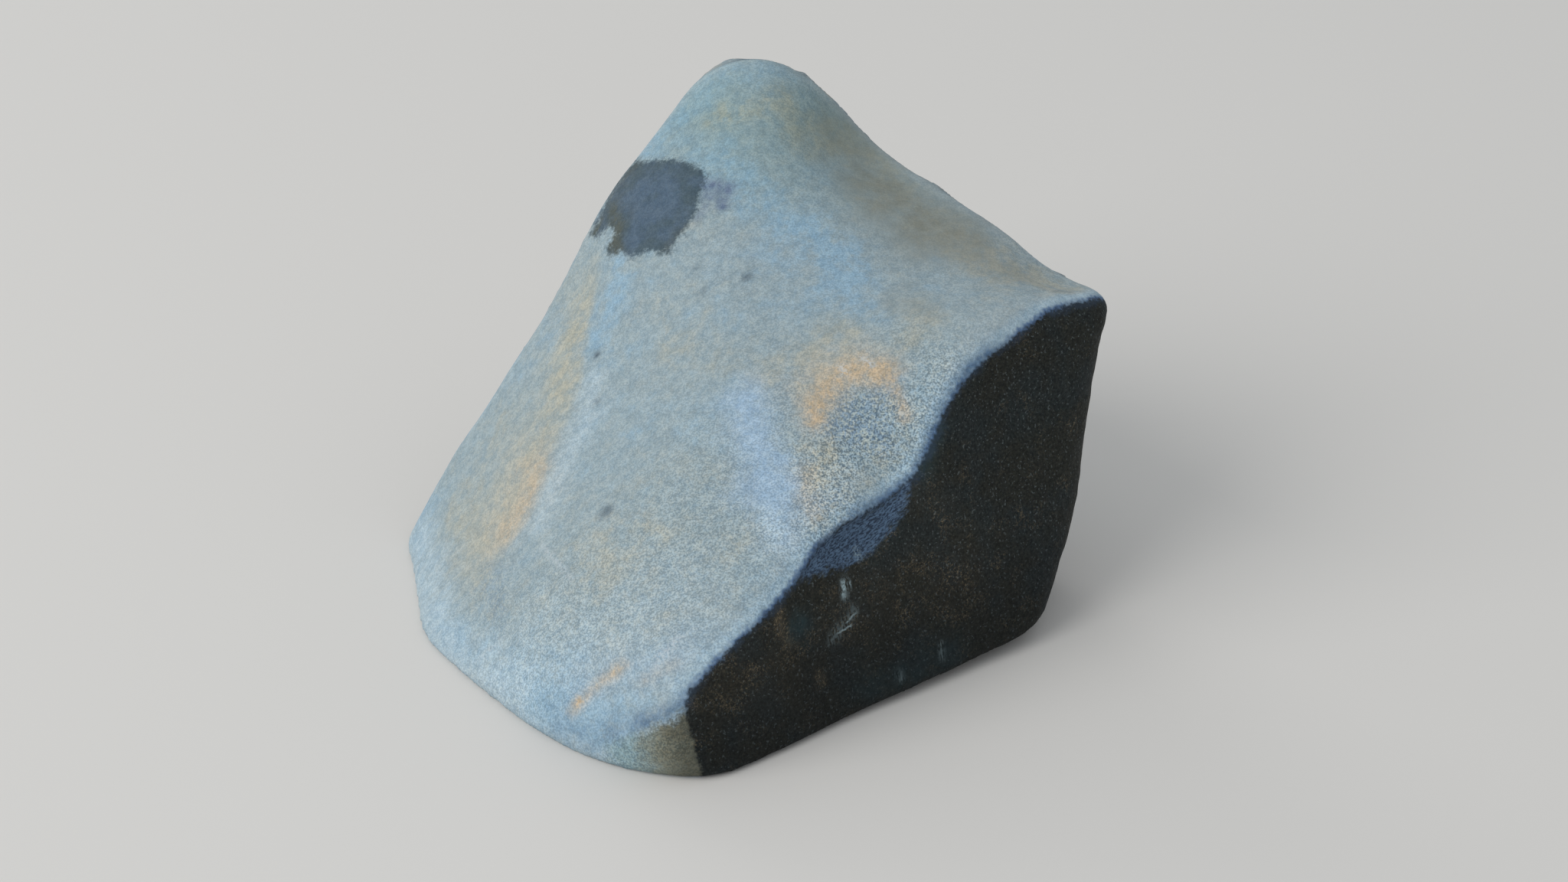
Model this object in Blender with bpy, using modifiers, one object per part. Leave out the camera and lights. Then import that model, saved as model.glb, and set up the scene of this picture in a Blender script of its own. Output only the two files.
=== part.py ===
# A natural viewing stone, 101 mm wide, 99 mm deep and 65 mm high: one water-worn piece.
#
# It stands on a flat base with its low nose towards -Y and its rounded peak at the back.
# A pale face slopes up from the nose to the peak, a steep dark face closes the right front,
# and the two meet in a crisp ridge that runs from the nose to the right shoulder.
#
# The form is the space inside a set of worn facets, with the edges between them rounded,
# then a few hollows and swellings pressed into it and shallow bowls broken out of its back.
# A round ball of points slides along its own rays, out from a core inside the stone, until
# it meets that form. The faces are then made even, thinned out where the stone is flat, and
# cut off level with the ground.

import bmesh
import bpy
import numpy as np

MM = 0.001
RIGHT_ANGLE = 90.0

# The ball of points: where its rays start inside the stone, how far they reach (mm), how
# often each one is halved to find the surface, and how finely the ball is divided
CORE = (-2.0, -4.0, 20.0)
LONGEST_RAY = 120.0
RAY_HALVINGS = 40
BALL_DIVISIONS = 7

# The faces: the size of the even ones (mm), how many triangles are kept of them, and how
# the even ones are drawn back onto the form (passes, and the step that finds its slope, mm)
EVEN_FACE = 0.8
TRIANGLES = 9600
SETTLE_PASSES = 4
SLOPE_STEP = 0.01

# The cut at the ground: points this near to it are on it, and shorter edges are closed (mm)
BASE_SNAP = 0.15
CUT_REACH = 0.001
TINY_EDGE = 0.04

# The rock's plain colour (red, green, blue) and how matt it is
ROCK_COLOUR = (0.30, 0.35, 0.38)
ROCK_ROUGHNESS = 0.85

# How round the edges are worn, as the width over which two facets blend (mm)
SLOPE_BLEND = 10.0
RIM_BLEND = 5.0
WALL_BLEND = 5.0
RIDGE_BLEND = 3.4
SCOOP_BLEND = 1.6
BASE_BLEND = 2.0

# Each facet: a point on it (mm), the way it faces in plan (degrees, 0 is +X, 90 is +Y),
# and how far it faces up (degrees, 90 is straight up, below 0 is undercut)
SLOPES = {
    "upper slope": ((1.0, 0.0, 41.8), -90.0, 63.5),
    "nose slope": ((-8.0, -49.0, 14.5), -97.0, 48.0),
    "left slope": ((-18.0, -9.0, 29.0), -142.0, 51.0),
    "left facet": ((-23.3, 7.0, 33.2), -164.0, 38.5),
    "right flank": ((30.0, 16.0, 52.9), 5.0, 68.5),
}
RIMS = {
    "front foot": ((-10.0, -46.9, 0.0), -98.0, -15.0),
    "front left rim": ((-31.3, -33.1, 0.0), -134.0, 18.0),
    "left corner": ((-50.2, -16.2, 0.0), -154.0, 14.0),
    "far left rim": ((-54.3, 4.0, 0.0), -176.0, 12.0),
}
WALLS = {
    "dark face": ((34.2, -19.2, 0.0), -52.6, 13.0),
    "right end": ((45.7, 0.0, 12.0), 0.0, -10.0),
    "right heel": ((41.4, 0.0, 0.0), -5.0, -28.0),
    "right back": ((44.6, 11.0, 0.0), 48.0, -6.0),
    "back": ((1.0, 49.5, 58.0), 80.0, 14.0),
    "left back": ((-22.3, 38.9, 43.0), 121.0, -4.0),
    "left bevel": ((-40.8, 26.3, 20.2), 156.0, 20.0),
}
# The resting face lies a little below the cut, so that the cut leaves a crisp flat base
UNDERSIDE = {
    "resting face": ((0.0, 0.0, -0.3), 0.0, -90.0),
    "right underside": ((20.0, -20.0, 0.0), -25.0, -83.0),
}

# Each hollow (depth above 0) or swelling (depth below 0): its middle, its reach along
# X, Y and Z, and its depth (all mm)
SLOPE_DENTS = {
    "peak": ((3.3, 45.0, 60.0), (11.0, 17.0, 14.0), -4.5),
    "left shoulder": ((-19.0, 30.0, 50.0), (10.0, 13.0, 12.0), -2.4),
    "terrace": ((33.0, -5.0, 43.0), (17.0, 11.0, 14.0), -5.5),
    "hollow by the ridge": ((21.0, -20.0, 30.0), (8.0, 8.0, 8.0), 3.0),
    "saddle": ((16.0, 36.0, 57.0), (10.0, 11.0, 9.0), 3.2),
    "dip by the shoulder": ((44.5, 15.0, 46.5), (7.0, 8.0, 6.0), 2.3),
    "shoulder rim": ((46.0, 3.0, 44.0), (8.0, 6.0, 8.0), -1.5),
    "left edge": ((-40.0, 24.0, 18.0), (7.0, 7.0, 8.0), 0.8),
    "left foot": ((-43.0, -15.0, 1.0), (8.0, 11.0, 8.0), -1.3),
}
WALL_DENTS = {
    "dark face hollow": ((34.0, -7.0, 32.0), (10.0, 9.0, 10.0), 0.6),
    "nose hollow": ((-9.0, -46.0, 9.0), (8.0, 8.0, 6.0), 1.2),
}
CHIPS = {
    "chip under the ridge": ((14.5, -27.0, 24.0), (6.0, 5.0, 3.5), 1.4),
}

# Each scoop is a shallow bowl that broke out of a steep side: the middle of its mouth, the
# way it faces in plan and up (degrees), its reach across and upwards (mm), how far it is
# turned in its own plane (degrees) and its depth (mm)
SCOOPS = {
    "right back": ((27.0, 29.0, 27.0), 47.0, -6.0, (25.0, 19.0), 18.0, 2.6),
    "high back": ((6.0, 50.0, 36.0), 78.0, 8.0, (13.0, 19.0), -14.0, 1.9),
    "low back": ((13.0, 41.5, 9.0), 66.0, -10.0, (21.0, 12.0), -8.0, 2.6),
    "left back": ((-14.0, 43.0, 29.0), 117.0, -2.0, (15.0, 23.0), 24.0, 2.3),
    "low left back": ((-28.0, 34.5, 10.0), 128.0, 2.0, (17.0, 13.0), -28.0, 2.0),
    "low right back": ((41.0, 14.5, 9.0), 40.0, -16.0, (13.0, 12.0), 30.0, 1.7),
}

# Long low waves of wear: each is its length (mm), the way it runs in plan and up
# (degrees), its height (mm) and where it starts (turns)
WEAR = (
    (47.0, 20.0, 35.0, 0.28, 0.10),
    (33.0, 115.0, -20.0, 0.22, 0.35),
    (26.0, -40.0, 50.0, 0.16, 0.62),
    (17.0, 75.0, 10.0, 0.08, 0.80),
    (12.0, -80.0, 30.0, 0.05, 0.47),
)


def facing(plan, up):
    """The unit vector that faces the given way in plan and up, both in degrees."""
    plan, up = np.radians(plan), np.radians(up)
    return np.array([np.cos(up) * np.cos(plan), np.cos(up) * np.sin(plan), np.sin(up)])


def beyond(points, facet):
    """How far each point lies outside one facet."""
    place, plan, up = facet
    return (points - np.array(place)) @ facing(plan, up)


def round_max(a, b, blend):
    """The larger of two fields, rounded where they cross over the given width."""
    overlap = np.maximum(blend - np.abs(a - b), 0.0) / blend
    return np.maximum(a, b) + overlap ** 2 * blend / 4


def group(points, facets, blend):
    """The field of several facets with one roundness between them."""
    fields = [beyond(points, facet) for facet in facets.values()]
    total = fields[0]
    for field in fields[1:]:
        total = round_max(total, field, blend)
    return total


def pressed(points, dents):
    """How much some hollows take away, less what the swellings among them add."""
    total = np.zeros(len(points))
    for place, reach, depth in dents.values():
        away = (points - np.array(place)) / np.array(reach)
        total += depth * np.exp(-(away ** 2).sum(axis=1))
    return total


def pale_side(points):
    """The field of the pale slopes and of the rims that carry them down to the ground."""
    slopes = group(points, SLOPES, SLOPE_BLEND) + pressed(points, SLOPE_DENTS)
    return round_max(slopes, group(points, RIMS, RIM_BLEND), RIM_BLEND)


def mouth(plan, up, turn):
    """The across and upward directions of a scoop's mouth, turned within its own plane."""
    across, above = facing(plan + RIGHT_ANGLE, 0.0), facing(plan, up + RIGHT_ANGLE)
    turn = np.radians(turn)
    first = np.cos(turn) * across + np.sin(turn) * above
    second = np.cos(turn) * above - np.sin(turn) * across
    return first, second


def scooped(points):
    """How far each point lies inside the bowls that broke out of the steep sides."""
    total = np.full(len(points), -LONGEST_RAY)
    for place, plan, up, reach, turn, depth in SCOOPS.values():
        first, second = mouth(plan, up, turn)
        away = points - np.array(place)
        bowl = 1 - (away @ first / reach[0]) ** 2 - (away @ second / reach[1]) ** 2
        total = round_max(total, away @ facing(plan, up) + depth * bowl, SCOOP_BLEND)
    return total


def wall_side(points):
    """The field of the steep sides."""
    walls = group(points, WALLS, WALL_BLEND) + pressed(points, WALL_DENTS)
    return round_max(walls, scooped(points), SCOOP_BLEND)


def wear(points):
    """The long low waves that keep the faces from being flat."""
    total = np.zeros(len(points))
    for length, plan, up, height, start in WEAR:
        turns = points @ facing(plan, up) / length + start
        total += height * np.sin(2 * np.pi * turns)
    return total


def outside(points):
    """The stone's field: below 0 inside it, 0 on its surface (mm)."""
    body = round_max(pale_side(points), wall_side(points), RIDGE_BLEND)
    body = body + pressed(points, CHIPS) + wear(points)
    return round_max(body, group(points, UNDERSIDE, BASE_BLEND), BASE_BLEND)


def slide_out(rays):
    """Where each ray from the core leaves the stone."""
    core = np.array(CORE)
    near = np.zeros(len(rays))
    far = np.full(len(rays), LONGEST_RAY)
    for _ in range(RAY_HALVINGS):
        middle = (near + far) / 2
        inside = outside(core + rays * middle[:, None]) < 0
        near = np.where(inside, middle, near)
        far = np.where(inside, far, middle)
    return core + rays * far[:, None]


def settle(points):
    """Move points that lie near the surface onto it, straight along the field's slope."""
    for _ in range(SETTLE_PASSES):
        here = outside(points)
        slope = np.empty_like(points)
        for axis in range(3):
            ahead = points.copy()
            ahead[:, axis] += SLOPE_STEP
            slope[:, axis] = (outside(ahead) - here) / SLOPE_STEP
        points = points - slope * (here / (slope ** 2).sum(axis=1))[:, None]
    return points


def read_points(mesh):
    """A mesh's points in millimetres."""
    flat = np.empty(len(mesh.vertices) * 3, dtype=np.float32)
    mesh.vertices.foreach_get("co", flat)
    return flat.reshape(-1, 3).astype(float) / MM


def write_points(mesh, points):
    """Put points in millimetres back into a mesh."""
    mesh.vertices.foreach_set("co", (points * MM).astype(np.float32).ravel())
    mesh.update()


def ball():
    """A round ball of points on rays from the core."""
    bm = bmesh.new()
    bmesh.ops.create_icosphere(bm, subdivisions=BALL_DIVISIONS, radius=1.0)
    mesh = bpy.data.meshes.new("stone")
    bm.to_mesh(mesh)
    bm.free()
    return mesh


def apply_modifiers(thing):
    """Make the shape that the modifiers give the object's own mesh."""
    graph = bpy.context.evaluated_depsgraph_get()
    graph.update()
    old = thing.data
    new = bpy.data.meshes.new_from_object(thing.evaluated_get(graph))
    thing.modifiers.clear()
    thing.data = new
    bpy.data.meshes.remove(old)
    new.name = thing.name


def even_faces(stone):
    """Give the stone small faces of one size, with their points on its form."""
    even = stone.modifiers.new("even faces", "REMESH")
    even.mode = "VOXEL"
    even.voxel_size = EVEN_FACE * MM
    apply_modifiers(stone)
    write_points(stone.data, settle(read_points(stone.data)))


def fewer_faces(stone):
    """Keep large faces where the stone is flat and small ones at its edges."""
    fewer = stone.modifiers.new("fewer faces", "DECIMATE")
    fewer.use_collapse_triangulate = True
    fewer.ratio = TRIANGLES / (2 * len(stone.data.polygons))
    apply_modifiers(stone)


def cut_base(mesh):
    """Cut the stone off level with the ground and close it with a flat resting face."""
    points = read_points(mesh)
    level = np.abs(points[:, 2]) < BASE_SNAP
    points[level, 2] = 0.0
    write_points(mesh, points)
    bm = bmesh.new()
    bm.from_mesh(mesh)
    whole = bm.verts[:] + bm.edges[:] + bm.faces[:]
    bmesh.ops.bisect_plane(bm, geom=whole, plane_co=(0, 0, 0), plane_no=(0, 0, -1),
                           dist=CUT_REACH * MM, clear_outer=True)
    rim = [edge for edge in bm.edges if edge.is_boundary]
    bmesh.ops.contextual_create(bm, geom=rim)
    bmesh.ops.dissolve_degenerate(bm, edges=bm.edges[:], dist=TINY_EDGE * MM)
    bmesh.ops.triangulate(bm, faces=bm.faces[:])
    bmesh.ops.recalc_face_normals(bm, faces=bm.faces[:])
    bm.to_mesh(mesh)
    bm.free()


def centre(mesh):
    """Put the middle of the stone's box over the origin, with its base on the ground."""
    points = read_points(mesh)
    middle = (points.min(axis=0) + points.max(axis=0)) / 2
    points[:, :2] -= middle[:2]
    write_points(mesh, points)


def rock():
    """The stone's material: matt blue-grey rock."""
    material = bpy.data.materials.new("blue-grey stone")
    material.use_nodes = True
    shader = material.node_tree.nodes["Principled BSDF"]
    shader.inputs["Base Color"].default_value = (*ROCK_COLOUR, 1.0)
    shader.inputs["Roughness"].default_value = ROCK_ROUGHNESS
    shader.inputs["Metallic"].default_value = 0.0
    return material


def make_stone():
    """The whole stone, from the ball of points to the cut base."""
    mesh = ball()
    rays = read_points(mesh)
    rays /= np.linalg.norm(rays, axis=1)[:, None]
    write_points(mesh, slide_out(rays))
    stone = bpy.data.objects.new("stone", mesh)
    bpy.data.collections["viewing stone"].objects.link(stone)
    even_faces(stone)
    fewer_faces(stone)
    cut_base(stone.data)
    centre(stone.data)
    stone.data.materials.append(rock())
    return stone


def clear_scene():
    """Remove whatever the scene held before."""
    for thing in list(bpy.data.objects):
        bpy.data.objects.remove(thing, do_unlink=True)


def main():
    clear_scene()
    parts = bpy.data.collections.new("viewing stone")
    bpy.context.scene.collection.children.link(parts)
    return make_stone()


if __name__ == "__main__":
    main()
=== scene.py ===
import math

import bmesh
import bpy
import numpy as np
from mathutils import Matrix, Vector, noise
from mathutils.bvhtree import BVHTree

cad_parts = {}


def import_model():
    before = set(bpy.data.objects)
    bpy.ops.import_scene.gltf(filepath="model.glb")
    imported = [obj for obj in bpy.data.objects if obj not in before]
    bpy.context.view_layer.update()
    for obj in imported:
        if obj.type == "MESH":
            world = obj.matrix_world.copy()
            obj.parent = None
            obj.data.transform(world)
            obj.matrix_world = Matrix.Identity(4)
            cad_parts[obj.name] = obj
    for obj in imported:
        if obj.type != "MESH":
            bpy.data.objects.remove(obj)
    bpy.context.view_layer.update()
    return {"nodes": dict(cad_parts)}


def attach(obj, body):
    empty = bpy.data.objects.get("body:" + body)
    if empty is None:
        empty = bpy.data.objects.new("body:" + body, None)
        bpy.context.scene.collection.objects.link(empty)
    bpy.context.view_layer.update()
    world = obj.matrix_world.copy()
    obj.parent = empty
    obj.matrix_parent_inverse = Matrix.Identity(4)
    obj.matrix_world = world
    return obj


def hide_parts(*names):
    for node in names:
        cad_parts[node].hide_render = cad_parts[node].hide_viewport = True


# One millimetre in the scene's metres
MM = 0.001

# The photograph: its size and focal length in pixels, where its camera stood (mm), looking
# along +Y and down (degrees), its sensor's width (mm), and how near and far it sees (m)
PHOTO_SIZE = (2048, 1152)
FOCAL = 3822.0
CAMERA_PLACE = (5.4, -364.4, 217.9)
CAMERA_DOWN = 28.0
SENSOR = 36.0
SEES_FROM = 0.01
SEES_TO = 20.0

# The remade mesh: how near points are merged and its face size (mm), how often it is
# smoothed, by a step inwards and one outwards, and how high a point may be to count as
# lying on the base (mm), before the smoothing and after it
MERGE_GAP = 0.001
FACE_SIZE = 0.6
SMOOTHINGS = 14
SHRINK_STEP = 0.5
SWELL_STEP = -0.52
BASE_BAND = 0.1
ON_BASE = 0.05

# How often a mesh is evened out to find its hollows, and how deep the deepest are (mm)
EVENINGS = 60
HOLLOW_DEPTH = 0.9

# The line between the pale skin and the dark face, from the right shoulder down to the
# nose and down it to the ground (pixels), and down the hidden right back (mm). Both ends
# of the line lie on the base. The spot is a pixel well inside the dark face.
RIDGE = [(1440, 392), (1400, 394), (1365, 408), (1330, 434), (1290, 465), (1255, 500),
         (1230, 540), (1210, 590), (1190, 622), (1150, 655), (1100, 684), (1065, 715),
         (1035, 762), (1000, 802), (950, 848), (915, 886), (896, 903), (893, 925),
         (899, 955), (907, 985), (914, 1008)]
RIGHT_BACK = [(30.0, 8.0, -1.0), (38.0, 15.0, 1.5), (38.0, 17.5, 6.0), (44.0, 13.5, 15.0),
              (42.5, 16.0, 26.0), (48.0, 11.5, 34.0), (49.5, 9.0, 40.0)]
NOSE_END = (-6.0, -43.0, -1.0)
DARK_SPOT = (1250, 700)

# How close the points of a line are set, in pixels and on the stone (mm), how often a line
# is fitted to the stone, and how wide the border between skin and dark face is (mm) and how
# often it is evened out
RAY_GAP = 12.0
LINE_GAP = 0.8
LINE_FITS = 3
BORDER_WIDTH = 0.7
BORDER_EVENINGS = 12

# How far before and behind the stone's middle, and in what steps, a pixel just beside the
# stone is followed (mm)
BESIDE_REACH = 70
BESIDE_STEP = 5

# Keeps a division by the length of a line from being one by nothing
TINY = 1e-9

# Marks with an edge, as their outlines (pixels)
PATCH = [(784, 276), (794, 254), (805, 236), (816, 220), (830, 211), (852, 208), (880, 208),
         (900, 212), (914, 219), (923, 228), (918, 240), (914, 254), (912, 268), (906, 283),
         (897, 298), (885, 311), (876, 326), (864, 333), (850, 326), (840, 329), (826, 337),
         (812, 330), (797, 335), (792, 324), (800, 312), (803, 303), (796, 296), (788, 302),
         (778, 311), (770, 304), (778, 290)]
NAVY_CHIP = [(1046, 748), (1070, 709), (1096, 688), (1126, 673), (1160, 652), (1188, 628),
             (1187, 650), (1178, 676), (1160, 700), (1138, 722), (1108, 740), (1080, 746),
             (1056, 756)]
OLIVE_FOOT = [(795, 972), (825, 958), (855, 947), (880, 938), (893, 930), (930, 930),
              (940, 1020), (880, 1030), (830, 1020), (795, 1000)]
LEFT_FACET = [(790, 300), (775, 400), (766, 450), (761, 504), (748, 548), (732, 576),
              (716, 600), (708, 628), (692, 668), (680, 696), (656, 728), (630, 770),
              (600, 830), (300, 1100), (300, 300)]

# Where the stone turns away from the camera, its marks fade: from which cosine, over how
# much of it, and how far off (mm) a mark then counts as lying
TURNED_AWAY = 0.05
TURN_WIDTH = 0.35
FAR_OFF = 20.0

# Soft marks: each is a line of pixels, how far it spreads (mm) and how strong it is
TAN_MARKS = [
    ([(860, 400), (930, 470)], 6.0, 0.35),
    ([(780, 680), (850, 730), (905, 820)], 10.0, 0.4),
    ([(1000, 505), (1050, 465), (1100, 440)], 4.0, 0.6),
    ([(935, 152), (990, 140), (1012, 135)], 3.2, 1.1),
    ([(600, 740), (640, 800)], 5.0, 0.4),
    ([(650, 560), (605, 660)], 5.5, 0.45),
    ([(1370, 372), (1400, 382)], 3.0, 0.4),
    ([(1260, 332), (1335, 364)], 4.0, 0.3),
    ([(1165, 394), (1215, 404)], 4.0, 0.2),
    ([(1064, 168), (1110, 190), (1180, 270), (1290, 340), (1390, 380)], 5.5, 0.7),
    ([(1066, 600), (1064, 640), (1085, 672)], 3.2, 0.9),
    ([(1100, 630), (1150, 610)], 3.0, 0.5),
    ([(1130, 470), (1230, 440)], 4.5, 0.4),
    ([(820, 340), (770, 400)], 2.4, 0.5),
]
BLUE_MARKS = [
    ([(812, 345), (800, 395), (788, 430)], 3.0, 0.6),
    ([(960, 88), (1000, 84), (1040, 112)], 5.0, 0.35),
    ([(945, 220), (1000, 265), (1050, 310), (1105, 370)], 5.0, 0.6),
    ([(1137, 400), (1145, 410)], 2.6, 0.7),
    ([(1080, 300), (1110, 350)], 4.0, 0.5),
    ([(545, 700), (555, 770), (585, 845), (650, 898), (720, 948), (790, 975)], 4.5, 0.6),
    ([(700, 905), (780, 935), (850, 915), (895, 880)], 4.5, 0.6),
    ([(880, 160), (850, 190)], 3.0, 0.5),
    ([(860, 560), (900, 540)], 6.0, 0.35),
    ([(960, 820), (1010, 775), (1050, 720)], 2.5, 0.5),
    ([(670, 440), (610, 560), (550, 660)], 2.0, 0.6),
]
STREAK_MARKS = [
    ([(976, 526), (984, 570), (998, 615), (1006, 635)], 3.3, 1.0),
    ([(1010, 645), (1020, 665), (1032, 700)], 3.3, 0.55),
    ([(760, 890), (850, 870), (900, 845)], 3.5, 0.3),
]
PALE_AND_HIGHLIGHT_MARKS = [
    # A painted highlight along the crease of the left facet
    ([(775, 500), (768, 545), (752, 578), (734, 606), (720, 640), (702, 684)], 2.6, 0.6),
    ([(548, 700), (560, 780), (600, 860), (670, 905)], 4.0, 0.7),
    ([(700, 850), (800, 850), (900, 800)], 8.0, 0.35),
    ([(1000, 610), (1026, 690)], 3.0, 0.65),
    ([(1010, 650), (1030, 700)], 2.6, 0.8),
    ([(1105, 622), (1085, 655)], 3.0, 0.5),
    # A painted highlight along the skin's lip at the ridge
    ([(1290, 440), (1238, 490), (1204, 560)], 1.6, 0.35),
]
BEIGE_MARKS = [
    ([(762, 400), (738, 500), (704, 575), (672, 640), (640, 700)], 7.0, 0.75),
    ([(752, 430), (736, 500)], 3.0, 0.2),
]
RUST_MARKS = [
    ([(1064, 545), (1072, 522), (1086, 502), (1107, 489), (1130, 482), (1148, 486)], 2.2, 1.0),
    ([(1148, 486), (1160, 494), (1170, 512), (1178, 532), (1182, 546)], 1.0, 0.65),
    ([(1045, 500), (1075, 475), (1120, 460)], 2.6, 0.25),
    ([(703, 612), (695, 640), (682, 666), (664, 690)], 2.6, 0.55),
    ([(680, 620), (650, 690)], 5.0, 0.18),
    ([(747, 929), (756, 918)], 0.9, 0.55),
    ([(756, 918), (782, 893), (804, 877)], 1.0, 0.5),
    ([(804, 877), (815, 868)], 0.9, 0.4),
    ([(842, 889), (884, 865)], 1.0, 0.25),
    ([(1054, 618), (1056, 650), (1064, 672)], 1.5, 0.35),
]
SLATE_MARKS = [
    ([(1100, 556), (1128, 566), (1150, 575)], 2.6, 0.6),
    ([(1112, 530), (1150, 522)], 2.4, 0.45),
    ([(1080, 660), (1100, 650)], 1.8, 0.3),
    ([(640, 760), (655, 790)], 2.6, 0.3),
]
SPOT_MARKS = [
    ([(976, 362)], 0.80, 1.0),
    ([(918, 381)], 0.80, 0.45),
    ([(910, 350)], 0.75, 0.4),
    ([(980, 336)], 0.80, 0.35),
    ([(779, 463)], 0.60, 1.3),
    ([(780, 525)], 0.70, 0.8),
    ([(792, 667)], 1.05, 1.0),
    ([(743, 750)], 1.3, 0.25),
    ([(648, 795)], 1.5, 0.3),
    ([(1041, 650), (1036, 690)], 0.8, 0.25),
    ([(977, 613), (983, 680)], 0.9, 0.2),
]
# The flank right of the peak: a brown-grey stain, partly painted shade where it faces away from
# the light
FLANK_STAIN_AND_SHADE_MARKS = [
    ([(1105, 180), (1170, 245), (1225, 290)], 6.5, 0.6),
    ([(1130, 250), (1190, 310)], 5.0, 0.35),
    ([(1245, 322), (1325, 360)], 4.5, 0.35),
    ([(1170, 396), (1212, 403)], 3.5, 0.3),
]
OCHRE_MARKS = [
    ([(800, 272), (808, 296)], 2.0, 0.8),
    ([(782, 292), (776, 306)], 0.9, 0.9),
    ([(800, 318), (806, 332)], 1.6, 0.9),
    ([(822, 215), (800, 250)], 2.0, 0.5),
    ([(870, 325), (895, 300)], 0.9, 0.5),
]
TAIL_MARKS = [
    ([(916, 241), (936, 243), (952, 247)], 1.1, 1.0),
    ([(922, 257), (944, 261)], 0.9, 0.6),
    ([(944, 269)], 0.9, 1.0),
    ([(920, 272), (912, 284)], 0.9, 0.5),
]
# Dark blue lines of painted shade along the ridge and the olive facet's top edge, where the rock
# turns away from the light
CREST_SHADE_MARKS = [
    ([(836, 944), (856, 938), (876, 929), (892, 916)], 1.2, 0.65),
    ([(800, 956), (836, 944)], 1.3, 0.25),
    ([(735, 950), (765, 968), (800, 962)], 2.6, 0.25),
    ([(1290, 462), (1250, 497), (1224, 540), (1206, 588)], 1.0, 0.55),
    ([(1296, 456), (1264, 482)], 1.1, 0.4),
    ([(1203, 600), (1188, 624), (1160, 644), (1112, 670)], 0.8, 0.6),
]
BROWN_MARKS = [
    ([(1018, 800), (1020, 825), (1032, 842)], 0.7, 1.2),
    ([(1069, 882), (1074, 892)], 0.6, 1.2),
    ([(900, 918), (912, 924)], 0.7, 0.6),
    ([(1110, 800), (1180, 760), (1260, 740)], 6.0, 0.3),
    ([(1195, 650), (1230, 660)], 3.0, 0.3),
    ([(960, 900), (1010, 880)], 5.0, 0.4),
]
TEAL_MARKS = [
    ([(1043, 817)], 1.8, 0.8),
    ([(1222, 560), (1206, 610)], 1.6, 0.5),
    ([(1240, 850), (1190, 880), (1140, 890)], 3.0, 0.35),
]
SCUFF_MARKS = [
    ([(1102, 758), (1103, 780)], 0.55, 0.4),
    ([(1114, 798), (1088, 834)], 0.9, 0.2),
    ([(1121, 718), (1122, 728)], 0.4, 0.5),
    ([(1228, 840), (1231, 858)], 0.45, 0.22),
    ([(1173, 878), (1177, 888)], 0.45, 0.2),
]
HAIRLINE_MARKS = [
    ([(860, 857), (889, 832)], 0.45, 0.6),
    ([(853, 872), (880, 848)], 0.45, 0.4),
    ([(708, 712), (726, 732), (746, 757)], 0.45, 0.5),
    ([(1098, 478), (1104, 488)], 0.45, 0.7),
    ([(1126, 468), (1140, 478)], 0.45, 0.7),
    ([(625, 862), (655, 835)], 0.45, 0.4),
]

# Thin scratches on the dark face: the pixels of each one's ends, half its width (mm) and
# how strong it is
SCRATCHES = [
    ((1101, 755), (1102, 784), 0.32, 0.9),
    ((1109, 755), (1112, 770), 0.20, 0.6),
    ((1119, 798), (1102, 816), 0.15, 0.5),
    ((1115, 814), (1092, 828), 0.15, 0.55),
]

# Where the grain shows most, and how much of it shows everywhere else
GRAIN_MARKS = [
    ([(1130, 545), (1100, 600), (1080, 680)], 6.0, 0.48),
    ([(720, 830), (860, 760), (1000, 640)], 16.0, 0.22),
    ([(1230, 480), (1180, 600)], 4.0, 0.4),
    ([(820, 990), (900, 965)], 4.0, 0.3),
]
GRAIN_LEAST = 0.26

# How much a soft mark's edge wanders, as a share of its spread, the spread (mm) from which
# it does so fully, the lumps in it, with their sizes in spreads and their strengths, and
# how far out a mark counts, in spreads
MARK_WANDER = 0.45
WANDER_FROM = 2.0
WANDER_LUMPS = [(1.5, 1.0), (0.6, 0.5)]
MARK_REACH = 2.6

# Dents (depth above 0) and swellings (below 0) too fine for the solid: a line of pixels,
# how far it spreads and its depth (mm)
DENTS = [
    ([(1125, 552)], 4.0, 0.45),
    ([(1070, 516), (1090, 492), (1120, 481), (1146, 485)], 1.6, -0.14),
    ([(1050, 640), (1046, 690)], 1.0, 0.20),
    ([(975, 530), (1000, 610), (1030, 690)], 2.4, -0.14),
    ([(779, 462)], 0.7, 0.40),
    ([(792, 667)], 1.0, 0.10),
    ([(1090, 715), (1130, 695), (1160, 665)], 2.4, 0.35),
    ([(1043, 817)], 1.6, 0.25),
    ([(1101, 748), (1103, 785)], 0.7, 0.18),
    ([(760, 912), (800, 880)], 0.9, 0.10),
    ([(850, 330), (870, 230)], 5.0, 0.12),
    ([(1436, 388), (1438, 412)], 3.5, -0.65),
    ([(1047, 97)], 2.2, 0.16),
]

# How deep the navy chip lies under the dark face and over what width it gets there (mm), and
# the share of the dark face's relief that it lacks
CHIP_STEP = 0.30
CHIP_SLOPE = 0.7
CHIP_CALM = 0.6

# Relief all over, for the skin, for the dark face and for the rougher back: the size of
# its lumps and their height (mm)
SKIN_RELIEF = [(9.0, 0.16), (3.2, 0.045), (1.5, 0.02)]
DARK_RELIEF = [(7.0, 0.22), (2.8, 0.10), (1.4, 0.05)]
BACK_RELIEF = [(15.0, 0.55), (6.0, 0.34), (2.6, 0.16), (1.4, 0.06)]

# Over what width the skin's relief turns into the dark face's (mm), how fast and from where
# the back's sets in as the stone turns to the back, the same for its colour, and how high
# above the base relief is full (mm)
RELIEF_BLEND = 2.0
BACK_RELIEF_GAIN = 1.6
BACK_RELIEF_START = 0.3
BACK_COLOUR_GAIN = 2.0
FULL_RELIEF = 1.5

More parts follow.
